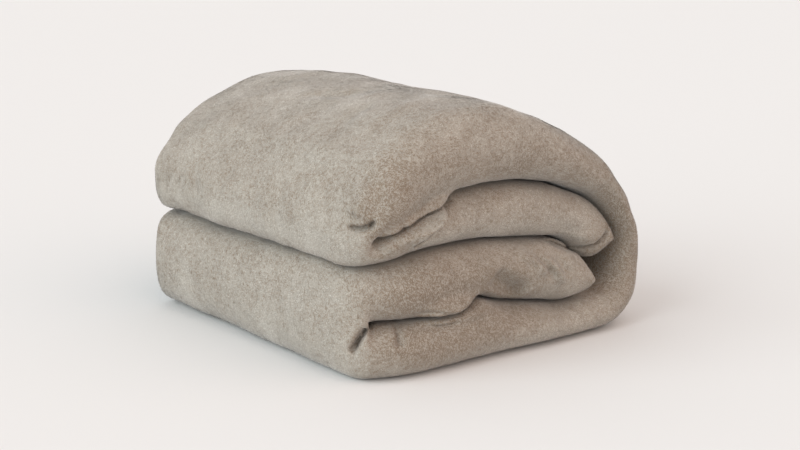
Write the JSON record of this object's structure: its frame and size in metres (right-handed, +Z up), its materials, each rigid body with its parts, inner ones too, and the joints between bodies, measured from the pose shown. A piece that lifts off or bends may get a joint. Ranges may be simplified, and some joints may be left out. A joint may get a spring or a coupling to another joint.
{
  "type": "folded plush bed blanket",
  "caption": "Plush bed blanket folded lengthwise into a thick strip, both ends turned in and shut like a book, lying flat.",
  "frame": {"origin": "centre of the underside's bounding rectangle, on the surface the folded blanket lies on", "axes": "+Z up; X runs from the two round nose folds (-X) to the spine fold (+X); Y from the closed folded edge (-Y) to the edge with the free hems (+Y)"},
  "size_m": [0.469, 0.5138, 0.3115],
  "materials": {
    "plush": "short dense taupe plush pile, matte with a soft sheen"
  },
  "bodies": {
    "root": {"blanket": "plush"}
  },
  "joints": []
}
